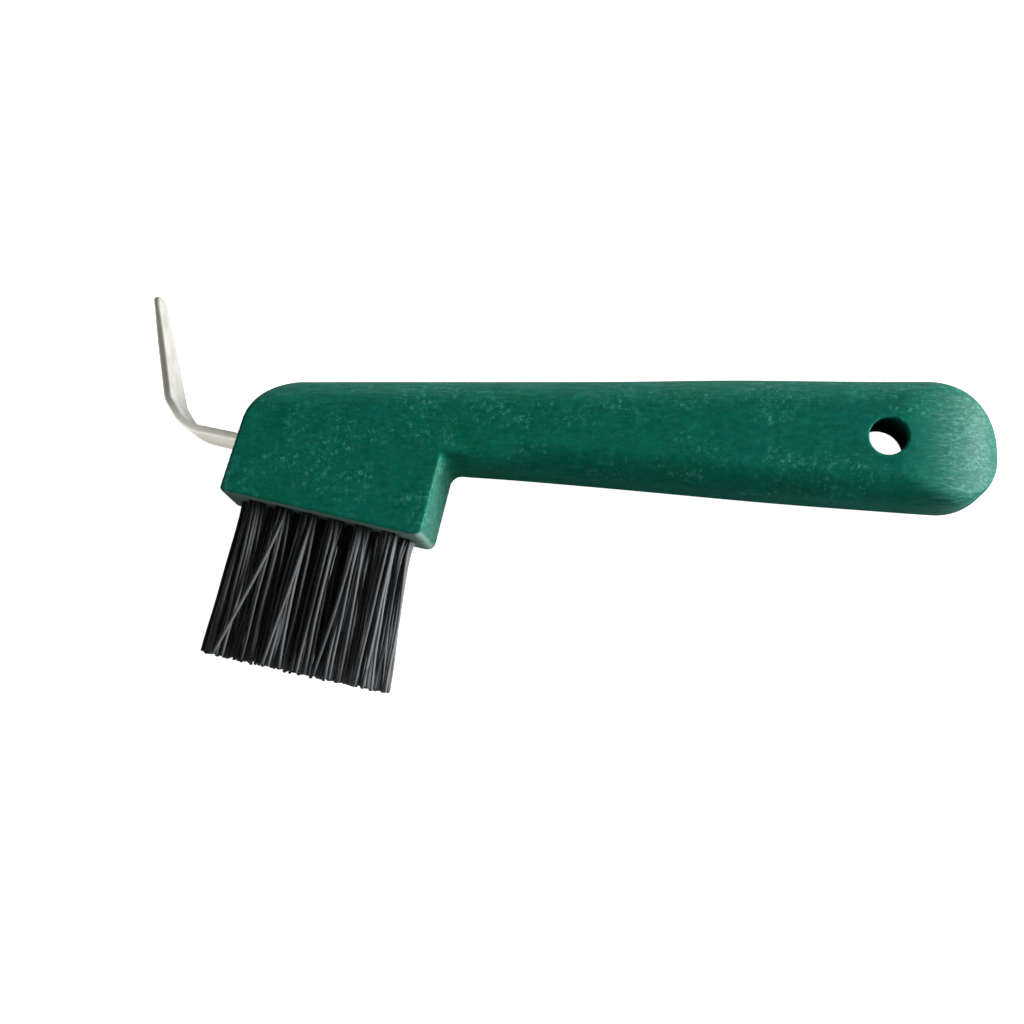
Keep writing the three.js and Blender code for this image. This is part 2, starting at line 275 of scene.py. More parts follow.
def rounded_edge(inward, height, drop, bulge=2.0):
    """Field of an edge that is rounded in thickness; inward goes from 0 to 1 over the rounding."""
    upward = np.maximum(np.abs(height) - (MIDDLE - drop), 0) / drop
    return (inward ** bulge + upward ** bulge) ** (1 / bulge) - 1


def grip_field(x, y, height):
    """The bar: long edges rounded, least under the neck, and a dome at its rear end."""
    at_neck = (1 - ease(x, *NECK_END)) * (1 - ease(y, *UPPER_HALF))
    reach = EDGE_ROUND - (EDGE_ROUND - NECK_REACH) * at_neck
    inward = np.maximum(grip_plan(x, y) - swell(x, y) + reach, 0) / reach
    bar = rounded_edge(inward, height, EDGE_ROUND) * reach
    nose = np.maximum(x - HANDLE_REAR + DOME_LENGTH, 0) / DOME_LENGTH
    dome = rounded_edge(nose, height, DOME_DROP, DOME_BULGE) * DOME_DROP
    return soft_max(bar, dome, CREASE + DOME_BLEND * nose * np.maximum(1 - nose, 0))


def head_field(x, y, height):
    """The brush head: its top carries the grip's rounding, its other edges are nearly sharp."""
    corner_x = FACE_FRONT[0] + HEAD_CORNER + 4.5        # about the middle of the top corner
    angle = np.degrees(np.arctan2(y - (HANDLE_TOP - HEAD_CORNER), corner_x - x))
    on_top = ease(y, *UPPER_HALF) * np.where(x < corner_x, ease(angle, 15, 80), 1)
    reach = HEAD_EDGE + (EDGE_ROUND - HEAD_EDGE) * on_top
    inward = np.maximum(head_plan(x, y) + reach, 0) / reach
    return rounded_edge(inward, height, reach) * reach


def swell(x, y):
    """How far the grip's edges bow out beyond the straight outline."""
    level, height, middle, spread = (np.where(y > 4, a, b) for a, b in zip(TOP_SWELL, LOW_SWELL))
    bulge = height * np.exp(-((x - middle) / spread) ** 2)
    return level * ease(HANDLE_REAR - x, *SWELL_END) + bulge


def face_coordinates(p):
    """Distance along the brush face from its front, and distance out of it."""
    flat = p[:, :2] - FACE_FRONT
    return flat @ ALONG, flat @ OUTWARD


def sockets(p):
    along, out = face_coordinates(p)
    nearest = np.full(len(p), np.inf)
    close = out > -SOCKET_DEPTH - 2       # elsewhere the holes make no difference
    for _, distance, z in TUFTS:
        radial = np.hypot(along[close] - distance, p[close, 2] - z) - SOCKET_RADIUS
        nearest[close] = np.minimum(nearest[close], radial)
    return np.maximum(nearest, -out - SOCKET_DEPTH)


def soft_max(a, b, radius):
    """The larger of a and b, with the edge between them rounded."""
    meet = np.maximum(radius - np.abs(a - b), 0)
    return np.maximum(a, b) + meet * meet / (4 * radius)


def hanging_hole(p):
    radius = HOLE_BASE_RADIUS + (HOLE_TOP_RADIUS - HOLE_BASE_RADIUS) * p[:, 2] / THICKNESS
    return np.hypot(p[:, 0] - HOLE_CENTRE[0], p[:, 1] - HOLE_CENTRE[1]) - radius


def tang_pocket(p):
    """Room for the buried end of the strip, measured along the strip and off its middle plane."""
    along, out = face_coordinates(p)
    end = (shank_point(TANG_END) - FACE_FRONT) @ ALONG
    past_sides = np.abs(p[:, 2] - MIDDLE) - SHANK_WIDTH / 2
    past_flats = np.abs(out + HOOK_HEIGHT) - HOOK_THICKNESS / 2
    return np.maximum.reduce([along - end, past_flats, past_sides]) - TANG_GAP


def front_drawn_in(p):
    """Plan places with the head's front slid back to where it is on the upper side."""
    forward = ease(-p[:, 0], SPREAD_START, SPREAD_FULL)
    out = FRONT_SPREAD * (1 - p[:, 2] / THICKNESS) * forward
    share = (HANDLE_TOP - p[:, 1]) / (HANDLE_TOP - FACE_FRONT[1])
    return p[:, 0] + out, p[:, 1] - out * share * math.tan(FACE_ANGLE)


grip_plan, head_plan = Plan(grip_outline()), Plan(head_outline())


def moulding(p):
    """Field of the whole handle: head and grip joined with a fillet, less its openings."""
    x, y = front_drawn_in(p)
    height = p[:, 2] - MIDDLE
    below_surface = np.maximum(MIDDLE - np.abs(height), 0)
    fillet = np.minimum(NECK_FILLET, 2 * below_surface) * (1 - ease(y, *FILLET_END))
    head, grip = head_field(x, y, height), grip_field(x, y, height)
    body = -soft_max(-head, -grip, LEAST_FILLET + fillet)
    body = soft_max(body, -hanging_hole(p), RIM_ROUND)
    body = np.maximum(body, -sockets(p))
    return np.maximum(body, -tang_pocket(p))


def make_handle():
    low = (FACE_FRONT[0] - 2, FACE_BACK[1] - 2, -1.2)
    high = (HANDLE_REAR + 2, HANDLE_TOP + 2, THICKNESS + 1.2)
    step = GRID_STEP
    piece = solid_from_field("moulded_handle", moulding, low, high, step)
    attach(piece, "root")
    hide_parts("handle")
    piece.data.materials.append(plastic_material())


# ---- the steel strip ----

HOOK_THICKNESS, TIP_THICKNESS = 1.8, 1.35
HOOK_HEIGHT = 12.15    # middle of the shank above the brush face
SHANK_WIDTH, BEND_WIDTH, TIP_WIDTH = 15.2, 12.0, 6.0
TIP_CORNER, TANG_CORNER = 1.4, 0.6
TIP_TAPER = 14.0       # the strip is thinner over this length at its tip
WAVE_PITCH, WAVE_SIZE, WAVE_KNOTS = 3.0, 0.035, 37     # small changes of width
DULL_FROM, DULL_TO, DULLING = 22, 32, 0.4     # along the strip, where its edges get paler
TANG_END, BEND_X = -19.6, -54.8
ELBOW, TIP = (-58.7, 14.0), (-63.8, 37.4)
INNER_BEND, OUTER_BEND = 8.5, 5.0
EDGE_RADIUS = 0.6      # worn edges of the strip


def shank_point(x):
    start = FACE_FRONT - OUTWARD * HOOK_HEIGHT
    return np.array([x, start[1] - (x - start[0]) * math.tan(FACE_ANGLE)])


def spaced(line, step):
    """The line's points, with more put in so that none are further apart than step."""
    out = [line[0]]
    for a, b in zip(line, line[1:]):
        count = max(1, math.ceil(np.linalg.norm(b - a) / step))
        out += [a + (b - a) * k / count for k in range(1, count + 1)]
    return np.array(out)


def strip_path():
    bend = shank_point(BEND_X)
    return spaced([np.array(TIP), *corner_arc(TIP, ELBOW, bend, OUTER_BEND, 12),
                   *corner_arc(ELBOW, bend, shank_point(TANG_END), INNER_BEND, 12),
                   shank_point(TANG_END)], 0.7)


def strip_width(point, from_tip, from_end):
    x, y = point
    width = np.interp(x, (BEND_X, FACE_FRONT[0] + 5), (BEND_WIDTH, SHANK_WIDTH))
    if x < ELBOW[0] + 1:
        width = np.interp(y, (ELBOW[1], TIP[1]), (BEND_WIDTH, TIP_WIDTH))
    for reach, radius in ((from_tip, TIP_CORNER), (from_end, TANG_CORNER)):
        if reach < radius:
            width -= 2 * (radius - math.sqrt(radius ** 2 - (radius - reach) ** 2))
    return width


def strip_section(width, thickness):
    """Points of a rounded rectangle, across the strip and through it.

    The second list says how much each one belongs to a narrow edge, from 0 to 1.
    """
    radius = min(EDGE_RADIUS, thickness * 0.45)
    points, on_edge = [], []
    for sx, sy, start in ((1, 1, 0), (-1, 1, 90), (-1, -1, 180), (1, -1, 270)):
        for turn in (0, 22.5, 45, 67.5, 90):
            a = math.radians(start + turn)
            points.append((sx * (width / 2 - radius) + radius * math.cos(a),
                           sy * (thickness / 2 - radius) + radius * math.sin(a)))
            on_edge.append(math.cos(a) ** 2)
    return np.array(points), on_edge


def path_with_fine_tip():
    """The strip's middle line, with more points where the tip's corners round off."""
    path = strip_path()
    ends = np.linspace(0, TIP_CORNER, 7)[1:-1]
    way = (path[1] - path[0]) / np.linalg.norm(path[1] - path[0])
    return np.array([path[0], *[path[0] + way * e for e in ends],
                     *[p for p in path[1:] if np.linalg.norm(p - path[0]) > TIP_CORNER]])


def hook_rings():
    """Rings of points round the strip from its tip on, and each point's share of a narrow edge."""
    path = path_with_fine_tip()
    run = np.concatenate([[0], np.cumsum(np.linalg.norm(np.diff(path, axis=0), axis=1))])
    rng = np.random.default_rng(5)
    knots = np.arange(WAVE_KNOTS) * WAVE_PITCH
    wave = np.interp(run, knots, rng.normal(0, WAVE_SIZE, WAVE_KNOTS))
    rings, edges = [], []
    for i, (p, t) in enumerate(zip(path, directions(path))):
        width = strip_width(p, run[i], run[-1] - run[i]) + wave[i]
        thicker = (HOOK_THICKNESS - TIP_THICKNESS) * ease(run[i], 0, TIP_TAPER)
        section, on_edge = strip_section(max(width, 0.6), TIP_THICKNESS + thicker)
        rings.append([(p[0] - t[1] * v, p[1] + t[0] * v, MIDDLE + u) for u, v in section])
        edges += [e * (1 - DULLING * ease(run[i], DULL_FROM, DULL_TO)) for e in on_edge]
    return rings, edges


def directions(path):
    """Unit vectors along a path, at its points."""
    tangents = np.gradient(path, axis=0)
    return tangents / np.linalg.norm(tangents, axis=1, keepdims=True)


def tube_faces(rings, sides):
    """Quads between the rings of a tube, and a cap at either end."""
    base = np.arange(rings - 1)[:, None] * sides + np.arange(sides)
    ahead = np.arange(rings - 1)[:, None] * sides + (np.arange(sides) + 1) % sides
    quads = np.stack([base, ahead, ahead + sides, base + sides], -1).reshape(-1, 4)
    return quads.tolist() + [list(range(sides))[::-1],
                             list(range((rings - 1) * sides, rings * sides))]


def make_hook():
    rings, edges = hook_rings()
    faces = tube_faces(len(rings), len(rings[0]))
    mesh = bpy.data.meshes.new("steel_hook")
    mesh.from_pydata(in_frame(np.concatenate(rings)), [], faces)
    mesh.attributes.new("narrow_edge", "FLOAT", "POINT").data.foreach_set("value", edges)
    recalculate(mesh)
    piece = add_object("steel_hook", mesh)
    smooth_by_angle(piece, 40)
    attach(piece, "root")
    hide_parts("hook")
    mesh.materials.append(steel_material())


def recalculate(mesh):
    work = bmesh.new()
    work.from_mesh(mesh)
    bmesh.ops.recalc_face_normals(work, faces=work.faces)
    work.to_mesh(mesh)
    work.free()


def smooth_by_angle(piece, degrees):
    piece.data.shade_smooth()
    sharp = piece.data.attributes.new("sharp_edge", "BOOLEAN", "EDGE")
    work = bmesh.new()
    work.from_mesh(piece.data)
    limit = math.radians(degrees)
    flags = [len(e.link_faces) == 2 and e.calc_face_angle() > limit for e in work.edges]
    work.free()
    sharp.data.foreach_set("value", flags)


# ---- bristles ----

FILAMENT = 0.35        # radius
FRONT_LENGTH, REAR_LENGTH = 32.4, 31.4      # from the brush face to the trimmed ends
FAN_ANGLE = math.radians(4.5)
ANCHOR_HALF = 0.2      # half the anchor's thickness
FOLD_DEPTH = 6.2       # where the filaments turn round the anchor's lower edge
FILAMENT_SIDES = 6
REAR_PINCH = 0.8       # the rearmost tuft bows this much towards the others
FRONT_PINCH = 0.3      # and the foremost this much
STRAY_SHARE = 0.12     # filaments that lean well out of their tuft
SPLAY = 1.5            # how much wider a tuft is at its tips than in its hole
CURVE = 1.15           # how late along its length a filament leans away
TIP_SCATTER, CROSS_SCATTER = 0.65, 0.6      # of the tips, along the face and across it
BOW_SCATTER, STRAY_SCATTER, CUT_SCATTER = 0.34, 2.2, 0.16
STRAY_RISE, STRAY_BOW = 1.2, 0.6      # how a chosen stray stands out across the face
MOUTH_DEPTH = 0.8      # the last point of a filament inside its hole
EDGE_REACH = 1.9       # tips stand off the outer tufts' axes by this much at most
PINCH_START, PINCH_FULL = 7, 4     # distance from the end of the face
STRAYS = {             # tuft: start, end and bow along the face of one chosen filament
    "top_2": (0.9, -6.6, 0.5),
    "top_3": (0.9, -2.2, 0.3),
    "top_5": (-0.7, -3.4, 0.4),
    "mid_7": (1.0, 1.6, 1.0),
}


def folded_places():
    """Where the folded filaments pass the anchor, packed like oranges: along it, off its middle."""
    room = SOCKET_RADIUS - FILAMENT
    rows = [(ANCHOR_HALF + FILAMENT + k * FILAMENT * math.sqrt(3), k % 2) for k in range(3)]
    return [(s, off) for off, odd in rows for s in (np.arange(-3, 4) + odd / 2) * 2 * FILAMENT
            if math.hypot(s, off) <= room + 0.06]


def tip_limits(distance):
    """How far along the face the tips of a tuft may stand off its own axis."""
    first, last = FACE_LENGTH / 2 - 3 * TUFT_PITCH, FACE_LENGTH / 2 + 3 * TUFT_PITCH
    return -EDGE_REACH - (distance - first), EDGE_REACH + (last - distance)


def leg(place, side, distance, rng, stray=None):
    """Offsets (along, out, across) of one leg of a folded filament, from anchor to cut end."""
    s, off = place
    lean = math.tan(FAN_ANGLE * distance / FACE_LENGTH)
    tip_s = s * SPLAY + rng.normal(0, TIP_SCATTER)
    tip_z = side * off * SPLAY + rng.normal(0, CROSS_SCATTER)
    bow = rng.normal(0, BOW_SCATTER, 2)
    wave, phase, turns = rng.uniform(0.03, 0.12), rng.uniform(0, 6.28, 2), rng.uniform(1.0, 2.6)
    if rng.random() < STRAY_SHARE:
        tip_s += rng.normal(0, STRAY_SCATTER)
    ragged = rng.normal(0, CUT_SCATTER)
    tip_s = float(np.clip(tip_s, *tip_limits(distance)))
    if stray and side == 1:
        s, tip_s, bow[0] = stray
        tip_z, bow[1] = side * off + STRAY_RISE, STRAY_BOW
    cut = (distance + tip_s) / FACE_LENGTH
    length = FRONT_LENGTH + (REAR_LENGTH - FRONT_LENGTH) * cut + ragged
    buried = np.linspace(-FOLD_DEPTH, -MOUTH_DEPTH, 4)
    out = np.concatenate([buried, length * np.linspace(0, 1, 14) ** 0.92])
    free = np.clip(out / length, 0, 1)

    def sideways(root, tip, k):
        return (root + (tip - root) * free ** CURVE + bow[k] * np.sin(np.pi * free)
                + wave * free * np.sin(turns * 2 * np.pi * free + phase[k]))

    along = sideways(s, tip_s, 0) + lean * np.maximum(out, 0) + pinch(distance, free)
    return np.stack([along, out, sideways(side * off, tip_z, 1)], 1)


def pinch(distance, free):
    """How far the outermost tufts bow inwards, at shares of their free length."""
    at_front = FRONT_PINCH * ease(distance, PINCH_START, PINCH_FULL)
    at_rear = REAR_PINCH * ease(FACE_LENGTH - distance, PINCH_START, PINCH_FULL)
    return (at_front - at_rear) * np.sin(np.pi * free ** 0.6)


def folded_filament(place, distance, rng, stray=None):
    """A whole filament: cut end, down one leg, round the anchor, up the other."""
    first, second = (leg(place, side, distance, rng, stray) for side in (1, -1))
    s, off = place
    loop = [(s, -FOLD_DEPTH - off * 0.9 * math.sin(a), off * math.cos(a))
            for a in np.linspace(0, math.pi, 7)[1:-1]]
    return np.concatenate([first[::-1], loop, second])


def tube(path, radius, sides):
    """Rings of a tube along a path, with a small chamfer and a cap at both ends."""
    tangents = directions(path)
    ref = np.array([1.0, 0, 0])
    first = ref - tangents * (tangents @ ref)[:, None]
    first /= np.linalg.norm(first, axis=1, keepdims=True)
    second = np.cross(tangents, first)
    sizes = np.full(len(path), radius)
    chamfer = radius * 0.45
    start, end = path[0] - tangents[0] * chamfer, path[-1] + tangents[-1] * chamfer
    path = np.concatenate([[start], path, [end]])
    first = np.concatenate([first[:1], first, first[-1:]])
    second = np.concatenate([second[:1], second, second[-1:]])
    sizes = np.concatenate([[radius * 0.6], sizes, [radius * 0.6]])
    angles = (np.arange(sides) * 2 * np.pi / sides)[None, :, None]
    ring = np.cos(angles) * first[:, None] + np.sin(angles) * second[:, None]
    points = path[:, None] + ring * sizes[:, None, None]
    return points.reshape(-1, 3), tube_faces(len(path), sides)


def filament_tone_and_light(rearward, rng):
    """0 is the darkest and 1 the palest. Filaments differ at random, and the rearward tufts, nearer
    the key light, are painted paler: painted light.
    """
    return (0.45 + 0.55 * rearward) * rng.random() ** (1.75 - 1.4 * rearward)


def make_tuft(name, distance, z, rng, material):
    vertices, faces, tones_and_light = [], [], []
    places, rearward = folded_places(), distance / FACE_LENGTH
    for place in places:
        stray = STRAYS.get(name) if place == places[-1] else None
        path = folded_filament(place, distance, rng, stray)
        points, quads_and_caps = tube(path, FILAMENT * rng.uniform(0.9, 1.08), FILAMENT_SIDES)
        start = sum(len(v) for v in vertices)
        vertices.append(points)
        faces += [[i + start for i in face] for face in quads_and_caps]
        tones_and_light += [filament_tone_and_light(rearward, rng)] * len(points)
    local = np.concatenate(vertices)
    plane = FACE_FRONT + np.outer(distance + local[:, 0], ALONG) + np.outer(local[:, 1], OUTWARD)
    mesh = bpy.data.meshes.new(f"bristles_{name}")
    mesh.from_pydata(in_frame(np.column_stack([plane, z + local[:, 2]])), [], faces)
    mesh.attributes.new("tone_and_light", "FLOAT", "POINT").data.foreach_set("value", tones_and_light)
    recalculate(mesh)
    mesh.shade_smooth()
    mesh.materials.append(material)
    piece = add_object(f"bristles_{name}", mesh)
    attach(piece, "root")
    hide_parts(f"tuft_{name}")


def make_brush():
    rng = np.random.default_rng(26)
    nylon, wire = bristle_material(), wire_material()
    for name, distance, z in TUFTS:
        make_tuft(name, distance, z, rng, nylon)
        anchor = nodes[f"anchor_{name}"].data
        anchor.materials.clear()
        anchor.materials.append(wire)


# ---- materials ----

class Nodes:
    """A node tree, with short calls to add and join nodes."""

    def __init__(self, owner):
        owner.use_nodes = True
        self.tree = owner.node_tree

    def add(self, kind, settings=None, **inputs):
        node = self.tree.nodes.new(f"ShaderNode{kind}")
        for key, value in (settings or {}).items():
            setattr(node, key, value)
        for key, value in inputs.items():
            self.put(node.inputs[int(key[1:]) if key[0] == "_" else key.replace("_", " ")], value)
        return node

    def put(self, socket, value):
        if isinstance(value, bpy.types.NodeSocket):
            self.tree.links.new(value, socket)
        else:
            socket.default_value = value

    def math(self, operation, a, b):
        return self.add("Math", {"operation": operation}, _0=a, _1=b).outputs[0]

    def times(self, a, b):
        return self.math("MULTIPLY", a, b)

    def between(self, value, low, high, to_low=0.0, to_high=1.0):
        """A smooth step: to_low where value is low, to_high where it is high."""
        node = self.add("MapRange", {"interpolation_type": "SMOOTHSTEP"}, Value=value)
        limits = {"From Min": low, "From Max": high, "To Min": to_low, "To Max": to_high}
        for key, number in limits.items():
            self.put(node.inputs[key], number)
        return node.outputs["Result"]

    def blend(self, amount, a, b):
        """a where amount is 0, b where it is 1."""
        node = self.add("Mix", {"data_type": "FLOAT"})
        for k, value in enumerate((amount, None, a, b)):
            if value is not None:
                self.put(node.inputs[k], value)
        return node.outputs[0]


class Shader(Nodes):
    """A surface material."""

    def __init__(self, name):
        self.material = bpy.data.materials.new(name)
        super().__init__(self.material)
        self.bsdf = self.tree.nodes["Principled BSDF"]

    def millimetres(self, stretch=(1, 1, 1)):
        """Object coordinates in millimetres, stretched along the axes."""
        spot = self.add("TexCoord").outputs["Object"]
        scale = tuple(k / MM for k in stretch)
        return self.add("VectorMath", {"operation": "MULTIPLY"}, _0=spot, _1=scale).outputs[0]

    def noise(self, scale, detail=2.0, stretch=(1, 1, 1), rough=0.5):
        return self.add("TexNoise", Vector=self.millimetres(stretch), Scale=scale, Detail=detail,
                        Roughness=rough).outputs["Fac"]

    def mix(self, amount, a, b):
        node = self.add("Mix", {"data_type": "RGBA"})
        self.put(node.inputs["Factor"], amount)
        self.put(node.inputs[6], a)
        self.put(node.inputs[7], b)
        return node.outputs[2]

    def bump(self, height, strength, depth):
        """A bump whose height of 1 stands depth millimetres proud."""
        node = self.add("Bump", Height=height, Strength=strength, Distance=depth * MM)
        return node.outputs["Normal"]

    def facing(self):
        """The parts of the surface's own direction along X, Y and Z."""
        return self.add("SeparateXYZ", Vector=self.add("TexCoord").outputs["Normal"]).outputs

    def finish(self, **inputs):
        for key, value in inputs.items():
            self.put(self.bsdf.inputs[key.replace("_", " ")], value)
        return self.material


GREENS = (0.0012, 0.141, 0.070, 1), (0.0018, 0.142, 0.101, 1)    # the plastic is between these
DEEP_GREEN, LIGHT_GREEN = (0.0006, 0.065, 0.042, 1), (0.005, 0.235, 0.172, 1)
WISP_GREEN, FLECK_GREEN = (0.018, 0.290, 0.220, 1), (0.080, 0.42, 0.33, 1)
# Paler greens for the rear end, the top edge and the right-facing faces: wear with painted light.
RUBBED_AND_LIT_GREEN, SCUFF_AND_SHEEN_GREEN = (0.14, 0.36, 0.31, 1), (0.19, 0.42, 0.37, 1)
STREAK_GREEN, MARK_GREEN = (0.002, 0.105, 0.072, 1), (0.01, 0.05, 0.04, 1)
# Painted reflection: the brush face is painted pale grey-green.
BRUSH_FACE_SHEEN_GREEN = (0.29, 0.44, 0.39, 1)
# The whiter sheen tint follows the painted light on the rear end, top edge and right-facing faces.
SHEEN, RUBBED_AND_LIT_SHEEN = (0.12, 1.0, 0.90, 1), (0.75, 1.0, 0.96, 1)
FLECK_WOBBLE, FLECK_SOFTNESS = 2.2, 0.85


def flecks(s, pitch, radius, share):
    """Soft uneven spots, 0 to 1, of their own strengths.

    Cells are pitch millimetres across, and share of them hold a spot.
    """
    wobble = s.add("TexNoise", Vector=s.millimetres(), Scale=2.0, Detail=2.0).outputs["Color"]
    shift = s.add("VectorMath", {"operation": "SCALE"}, _0=wobble, Scale=FLECK_WOBBLE).outputs[0]
    spot = s.add("VectorMath", {"operation": "ADD"}, _0=s.millimetres(), _1=shift).outputs[0]
    cells = s.add("TexVoronoi", Vector=spot, Scale=1 / pitch)
    pick = s.add("SeparateColor", Color=cells.outputs["Color"]).outputs[0]
    core = radius * (1 - FLECK_SOFTNESS)
    near = s.between(cells.outputs["Distance"], radius / pitch, core / pitch)
    return s.times(s.between(pick, 1 - share, 1), near)


def pale_flecks(s, near_rear):
    """Flecks of two sizes that come in clumps, and are fewer towards the rear end."""
    clumps = s.between(s.noise(0.13, 3, (0.6, 1, 1)), 0.42, 0.62)
    large, small = flecks(s, 1.25, 0.62, 0.7), flecks(s, 0.75, 0.42, 0.7)
    pale = s.math("MAXIMUM", large, s.times(small, 0.8))
    pale = s.times(pale, s.between(clumps, 0, 1, 0.2, 1.0))
    return s.times(pale, s.between(near_rear, 0, 1, 1.0, 0.45))


def moulding_mark(s):
    """1 in a small spot on the brush face."""
    mark = in_frame([*(FACE_FRONT + ALONG * MARK_SPOT[0]), MARK_SPOT[1]]) / MM
    away = s.add("VectorMath", {"operation": "DISTANCE"}, _0=s.millimetres(), _1=mark)
    return s.between(away.outputs["Value"], MARK_RADIUS, MARK_RADIUS / 3)


def plastic_colour(s, cloudy, scuffs_and_sheen, near_rear, rubbed_and_lit, brush_face_sheen):
    wisps = s.between(s.noise(0.5, 5, (0.6, 1.2, 1.2), 0.7), 0.55, 0.78)
    streaks = s.between(s.noise(1.0, 3, (0.14, 1.5, 1.5), 0.6), 0.56, 0.42)
    base = s.mix(s.between(s.noise(0.055, 2), 0.35, 0.65), *GREENS)
    dark, light = s.mix(0.35, base, DEEP_GREEN), s.mix(0.35, base, LIGHT_GREEN)
    base = s.mix(s.between(cloudy, 0.34, 0.66), dark, light)
    base = s.mix(s.times(wisps, 0.45), base, WISP_GREEN)
    base = s.mix(s.times(pale_flecks(s, near_rear), 0.75), base, FLECK_GREEN)
    # Painted light: paler where the key light falls, over wear at the rear end and top edge.
    base = s.mix(s.times(rubbed_and_lit, 0.10), base, RUBBED_AND_LIT_GREEN)
    base = s.mix(s.times(scuffs_and_sheen, 0.55), base, SCUFF_AND_SHEEN_GREEN)
    base = s.mix(s.times(streaks, s.between(rubbed_and_lit, 0, 1, 0.12, 0.6)), base, STREAK_GREEN)
    # Painted reflection on the brush face.
    base = s.mix(s.times(brush_face_sheen, 0.8), base, BRUSH_FACE_SHEEN_GREEN)
    return s.mix(moulding_mark(s), base, MARK_GREEN)


def plastic_material():
    """Green plastic with pale flecks. The rear end, the top edge and the faces turned to the right
    are painted paler, with a whiter sheen: partly wear, partly painted light where the key light
    falls. The brush face carries a painted pale sheen.
    """
    s = Shader("green_moulded_plastic")
    place, facing = s.add("SeparateXYZ", Vector=s.millimetres()).outputs, s.facing()
    neck, rear = CORNER.x / MM, CORNER.x / MM + HANDLE_REAR
    top = CORNER.y / MM + HANDLE_TOP
    near_rear = s.between(place[0], rear - 21, rear - 5)
    near_top = s.between(place[1], top - 8, top - 1)
    # Paler at the rear end and along the top edge: partly wear, partly painted light.
    rubbed_and_lit = s.math("MAXIMUM", near_rear, s.times(near_top, 0.45))
    # Faces turned to the right, towards the key light, are painted paler: painted light.
    rubbed_and_lit = s.math("MAXIMUM", rubbed_and_lit, s.between(facing[0], 0.3, 0.8))
    moulded = s.between(facing[1], -0.35, -0.8)
    # The brush face, turned down in plan in front of the neck, gets a painted sheen.
    brush_face_sheen = s.times(moulded, s.between(place[0], neck, neck - 3))

    mottle = s.noise(0.20, 6, rough=0.78)
    grain = s.noise(0.9, 2, (0.75, 1, 1))
    cloudy = s.math("ADD", s.times(mottle, 0.6), s.times(grain, 0.4))
    lines = s.noise(1.0, 4, (0.22, 2.6, 2.6), 0.62)
    patches = s.between(s.noise(0.45, 5, (0.6, 1.2, 1.2), 0.7), 0.38, 0.60, 0.35, 1.0)
    # Pale scratch lines, strongest where the painted light is: real scratches with painted sheen.
    scuffs_and_sheen = s.times(s.between(lines, 0.43, 0.63), s.between(rubbed_and_lit, 0, 1, 0.06, 1.0))
    scuffs_and_sheen = s.times(scuffs_and_sheen, patches)

    colour = plastic_colour(s, cloudy, scuffs_and_sheen, near_rear, rubbed_and_lit, brush_face_sheen)
    normal = s.bump(s.math("ADD", s.times(lines, 0.6), s.times(cloudy, 0.3)), 0.5, 0.09)
    rough = s.blend(moulded, s.between(rubbed_and_lit, 0, 1, 0.56, 0.50), 0.9)
    rough = s.math("ADD", rough, s.between(mottle, 0.3, 0.7, -0.05, 0.05))
    return s.finish(Base_Color=colour, Roughness=rough, Normal=normal, IOR=1.46,
                    Specular_IOR_Level=0.23, Specular_Tint=s.mix(rubbed_and_lit, SHEEN, RUBBED_AND_LIT_SHEEN))


BARE_STEEL, STAINED_STEEL = (0.66, 0.65, 0.61, 1), (0.56, 0.54, 0.47, 1)
# Painted shade for the faces turned towards the brush, and the narrow edges' dark colour.
PAINTED_SHADE_STEEL, NARROW_EDGE_STEEL = (0.47, 0.445, 0.385, 1), (0.115, 0.113, 0.089, 1)


def steel_material():
    """Plain steel, faintly brushed across, with darkened narrow edges and painted shade on the
    faces turned towards the brush.
    """
    s = Shader("worn_steel")
    brush = s.noise(1.0, 4, (3.2, 3.2, 0.25), 0.6)
    stain = s.noise(0.22, 3)
    narrow = s.add("Attribute", {"attribute_name": "narrow_edge"}).outputs["Fac"]
    base = s.mix(s.between(stain, 0.4, 0.7), BARE_STEEL, STAINED_STEEL)
    # Painted shade: faces turned towards the brush are darker and yellower.
    base = s.mix(s.between(s.facing()[1], -0.3, -0.9, 0, 0.6), base, PAINTED_SHADE_STEEL)
    # The narrow edges are darkened, less so along the shank.
    base = s.mix(s.times(narrow, 0.95), base, NARROW_EDGE_STEEL)
    normal = s.bump(brush, 0.35, 0.03)
    rough = s.between(brush, 0.3, 0.7, 0.48, 0.62)
    return s.finish(Base_Color=base, Metallic=0.4, Roughness=rough, Normal=normal)


def bristle_material():
    """Black nylon. Each filament has its own grey, and the rearward tufts are painted paler:
    painted light.
    """
    s = Shader("black_filament")
    tone_and_light = s.add("Attribute", {"attribute_name": "tone_and_light"}).outputs["Fac"]
    lines = s.noise(1.0, 3, (5, 0.6, 5), 0.6)
    # Paler filaments towards the rear: random differences with painted light.
    base = s.mix(tone_and_light, (0.052, 0.057, 0.061, 1), (0.18, 0.193, 0.202, 1))
    rough = s.between(lines, 0.3, 0.7, 0.55, 0.70)
    normal = s.bump(lines, 0.3, 0.02)
    return s.finish(Base_Color=base, Roughness=rough, Normal=normal, Specular_IOR_Level=0.35)


def wire_material():
    """Zinc-coated wire with a faint spangle."""
    s = Shader("galvanised_wire")
    spangle = s.noise(1.6, 3)
    base = s.mix(s.between(spangle, 0.35, 0.65), (0.42, 0.43, 0.44, 1), (0.62, 0.63, 0.64, 1))
    normal = s.bump(spangle, 0.3, 0.02)
    rough = s.between(spangle, 0.3, 0.7, 0.32, 0.5)
    return s.finish(Base_Color=base, Metallic=1.0, Roughness=rough, Normal=normal)


# ---- stage ----

